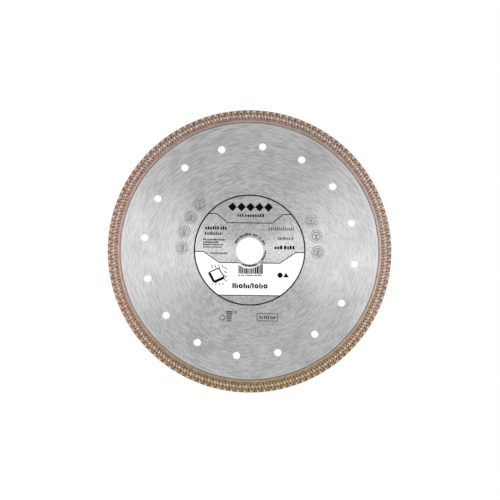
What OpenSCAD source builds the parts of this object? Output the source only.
// Continuous-rim mesh turbo diamond blade for tiles, 230 mm by 22.23 mm.
// The bore axis runs along Y, the printed face looks towards -Y and the print reads up along +Z.
// Every sub-part is drawn lying flat, print upwards, and stood up by facing().

/* [Blade] */
// Outer diameter, over the diamond crystals
blade_d = 230; // [190:1:280]
// Bore diameter
bore_d = 22.23; // [18:0.01:28]
// Thickness of the steel core
core_t = 1.4; // [1.1:0.05:1.7]

/* [Cooling holes] */
// Number of cooling holes
hole_count = 16; // [6:1:24]
// Diameter of a cooling hole
hole_d = 6.0; // [3:0.1:12]
// From the rim's inner edge to the circle of hole centres
hole_inset = 18.6; // [8:0.1:24]
// Turn of the first hole from +X, anticlockwise seen from the front
hole_turn = 15.4; // [0:0.1:60]

/* [Rim] */
// Height of the whole sintered band, base and diamond rim together
band_h = 10.8; // [9:0.1:14]
// Width of the sintered band, across both of its side faces
rim_w = 1.8; // [1.75:0.05:2.4]
// Height of the diamond-free base ring
base_h = 2.3; // [1.8:0.1:3]
// How deep the core's keyed edge reaches into the base ring
key_h = 1.3; // [0.8:0.1:1.5]
// Width of a key notch in the core's edge
key_notch_w = 2.4; // [1:0.1:3]
// Number of key notches
key_count = 48; // [24:1:72]

/* [Mesh grooves] */
// Distance from one deep groove to the next, along the middle of the mesh
mesh_pitch = 5.18; // [4.6:0.01:6.4]
// Radial distance from the mesh's middle row of crossings to the outer edge
mesh_row_inset = 4.7; // [4:0.1:5]
// Lean of the front grooves away from the radius, and of the back ones the other way
groove_lean = 20; // [15:1:25]
// Distance from the base ring to the grooves' inner ends
groove_run_in = 1.0; // [0.2:0.1:1.2]
// Slope of the groove floors, which get shallower towards the edge
groove_rise = 1.6; // [0:0.1:2.4]
// Deep front groove, width at the face
deep_mouth_w = 0.8; // [0.6:0.1:1.2]
// Deep front groove, width at the floor
deep_floor_w = 0.3; // [0.2:0.1:0.5]
// Deep front groove, depth
deep_depth = 1.3; // [1:0.05:1.4]
// Shallow front groove, width at the face
shallow_mouth_w = 0.8; // [0.6:0.1:1.2]
// Shallow front groove, width at the floor
shallow_floor_w = 0.4; // [0.2:0.1:0.5]
// Shallow front groove, depth
shallow_depth = 0.8; // [0.5:0.05:1]
// Back groove, width at the face
back_mouth_w = 2.1; // [1.5:0.1:2.1]
// Back groove, width at the floor
back_floor_w = 0.6; // [0.4:0.1:1]
// Back groove, depth
back_depth = 1.15; // [1:0.05:1.25]

/* [Diamond grit] */
// Width of an exposed crystal
grit_d = 0.4; // [0.2:0.05:0.6]
// How far a crystal stands out of the bond
grit_h = 0.15; // [0.1:0.01:0.25]

/* [Print] */
// Thickness of the ink
ink_t = 0.04; // [0.02:0.01:0.1]
// Radius of the outline circle, at the middle of its line
label_r = 44.7; // [40:0.1:50]
// Width of the outline circle's line
outline_w = 1.1; // [0.9:0.1:1.5]
// Width of the thin lines
line_w = 0.7; // [0.3:0.05:0.8]
// Bare ring kept free of print round the bore
bore_clear = 2.3; // [1:0.1:4]
// Height of the upper panel's floor line
panel_floor_y = 22.1; // [18:0.1:26]
// Height of the upper panel's shoulders
panel_shoulder_y = 29.3; // [27:0.1:33]
// Half width of the upper panel at its floor
panel_floor_x = 18.3; // [12:0.1:22]
// Half width of the upper panel at its shoulders
panel_shoulder_x = 26.6; // [23:0.1:30]
// Height of the dip in the white field's upper line
field_dip_y = -10.5; // [-12.5:0.1:-6]
// Height of the shoulders of the white field
field_shoulder_y = -1.7; // [-4:0.05:2]
// Height of the chord that closes the white field
field_chord_y = -36.9; // [-39:0.1:-30]
// Half width of the dip
field_dip_x = 24.6; // [20:0.1:30]
// Half width of the white field at its shoulders
field_shoulder_x = 37.3; // [32:0.1:41]
// How far the middle of the print lies above the bore's
print_lift = 0.6; // [-1:0.1:1]
// Turn of the whole print, anticlockwise seen from the front
print_turn = -0.6; // [-180:0.1:180]

/* [Hidden] */
$fn = 128;

bond_r = blade_d / 2 - grit_h;              // outer face of the bond
band_r = blade_d / 2 - band_h;              // seam between steel and sintered band
base_r = band_r + base_h;                   // base ring meets diamond rim
key_r = band_r + key_h;                     // tip of the core's keyed edge
hole_circle_r = band_r - hole_inset;
mesh_row_r = blade_d / 2 - mesh_row_inset;  // middle row of groove crossings
mesh_count = round(2 * PI * mesh_row_r / mesh_pitch);
mesh_step = 360 / mesh_count;
groove_in = (mesh_row_r - base_r - groove_run_in) / cos(groove_lean);
groove_out = 2 * mesh_row_inset;
label_clear_r = bore_d / 2 + bore_clear;
outline_in_r = label_r - outline_w / 2;
cut = 0.5;                                  // how far cutters pass through what they cut

// Half width of the outline circle at height y
function outline_x(y) = sqrt(label_r * label_r - y * y);
// A line across the label, from its right half, mirrored about the middle
function mirrored(half) = concat([for (i = [len(half) - 1:-1:0]) [-half[i].x, half[i].y]], half);
function reversed(points) = [for (i = [len(points) - 1:-1:0]) points[i]];
// The same line with its two ends moved outside the label
function reaching_out(points) = [for (p = points) abs(p.x) < max([for (q = points) q.x]) ? p
                                     : [sign(p.x) * (label_r + outline_w), p.y]];
// Unit normal, to the left of the way from a to b
function left_of(a, b) = [a.y - b.y, b.x - a.x] / norm(b - a);
// Mitred offset of point i of a line by d to its left
function shifted(points, i, d) =
    let (before = left_of(points[max(i - 1, 0)], points[max(i, 1)]),
         last = len(points) - 1,
         after = left_of(points[min(i, last - 1)], points[min(i + 1, last)]))
        points[i] + d * (before + after) / (1 + before * after);
function edge_of(points, d) = [for (i = [0:len(points) - 1]) shifted(points, i, d)];

panel_line = mirrored([[panel_floor_x, panel_floor_y],
                       [panel_shoulder_x, panel_shoulder_y],
                       [outline_x(panel_shoulder_y), panel_shoulder_y]]);
field_line = mirrored([[field_dip_x, field_dip_y],
                       [field_shoulder_x, field_shoulder_y],
                       [outline_x(field_shoulder_y), field_shoulder_y]]);
chord_line = mirrored([[outline_x(field_chord_y), field_chord_y]]);

// Stands a flat-lying shape up: its top becomes the front face
module facing() {
    rotate([90, 0, 0]) children();
}

// Flat ring centred on the mid plane
module ring(inner_r, outer_r, thickness) {
    rotate_extrude()
        translate([inner_r, -thickness / 2])
            square([outer_r - inner_r, thickness]);
}

// The steel disc with its keyed edge, before the bore and the holes
module core_blank() {
    difference() {
        cylinder(r = key_r, h = core_t, center = true);
        for (i = [0:key_count - 1])
            rotate([0, 0, i * 360 / key_count])
                translate([key_r, 0, 0])
                    cube([2 * (key_h - cut), key_notch_w, core_t + 2 * cut], center = true);
    }
}

module steel_core() {
    color("silver") facing()
        difference() {
            core_blank();
            cylinder(d = bore_d, h = core_t + 2 * cut, center = true);
            for (i = [0:hole_count - 1])
                rotate([0, 0, hole_turn + i * 360 / hole_count])
                    translate([hole_circle_r, 0, 0])
                        cylinder(d = hole_d, h = core_t + 2 * cut, center = true);
        }
}

module bond_base_ring() {
    color("rosybrown") facing()
        difference() {
            ring(band_r, base_r, rim_w);
            core_blank();
        }
}

// One straight pressed groove with sloping flanks, running out through the rim's edge;
// its depth is measured on the middle row of crossings
module groove(lean, mouth_w, floor_w, depth) {
    over_w = mouth_w + (mouth_w - floor_w) * cut / depth;
    translate([mesh_row_r, 0, rim_w / 2])
        rotate([0, -groove_rise, lean])
            translate([-groove_in, 0, 0])
                rotate([90, 0, 90])
                    linear_extrude(groove_in + groove_out)
                        polygon([[-floor_w / 2, -depth], [floor_w / 2, -depth],
                                 [over_w / 2, cut], [-over_w / 2, cut]]);
}

// Front grooves lean clockwise outwards, deep and shallow in turn
module front_grooves() {
    for (i = [0:mesh_count - 1]) {
        rotate([0, 0, i * mesh_step])
            groove(-groove_lean, deep_mouth_w, deep_floor_w, deep_depth);
        rotate([0, 0, (i + 0.5) * mesh_step])
            groove(-groove_lean, shallow_mouth_w, shallow_floor_w, shallow_depth);
    }
}

// Back grooves are all alike and lean the other way, so the two sets cross as a mesh
module back_grooves() {
    mirror([0, 0, 1])
        for (i = [0:2 * mesh_count - 1])
            rotate([0, 0, i * mesh_step / 2])
                groove(groove_lean, back_mouth_w, back_floor_w, back_depth);
}

module diamond_rim() {
    color("peru") facing()
        difference() {
            ring(base_r, bond_r, rim_w);
            front_grooves();
            back_grooves();
        }
}

// One crystal on the edge of the rim for each pitch of the mesh, between the groove mouths
module diamond_grit() {
    color("khaki") facing()
        for (i = [0:mesh_count - 1])
            rotate([0, 0, i * mesh_step])
                translate([bond_r, 0, 0])
                    rotate([0, 90, 0])
                        cylinder(d = grit_d, h = grit_h, $fn = 6);
}

// Square-ended line of print through the points, with mitred corners
module stroke(points) {
    polygon(concat(edge_of(points, line_w / 2), reversed(edge_of(points, -line_w / 2))));
}

// Lays ink on the front face of the core, kept off the bare ring round the bore
module printed() {
    facing()
        translate([0, 0, core_t / 2])
            difference() {
                translate([0, print_lift, 0])
                    rotate([0, 0, print_turn])
                        children();
                cylinder(r = label_clear_r, h = 2 * cut, center = true);
            }
}

// The white field fills the space between the black lines round it
module label_white_ink() {
    color("white") printed()
        linear_extrude(ink_t)
            intersection() {
                circle(r = outline_in_r);
                polygon(concat(edge_of(reaching_out(field_line), -line_w / 2),
                               reversed(edge_of(reaching_out(chord_line), line_w / 2))));
            }
}

// The black outline circle and the three lines across it
module label_black_ink() {
    color("black") printed()
        union() {
            translate([0, 0, ink_t / 2])
                ring(outline_in_r, label_r + outline_w / 2, ink_t);
            for (points = [panel_line, field_line, chord_line])
                linear_extrude(ink_t) stroke(points);
        }
}

steel_core();
bond_base_ring();
diamond_rim();
diamond_grit();
label_white_ink();
label_black_ink();
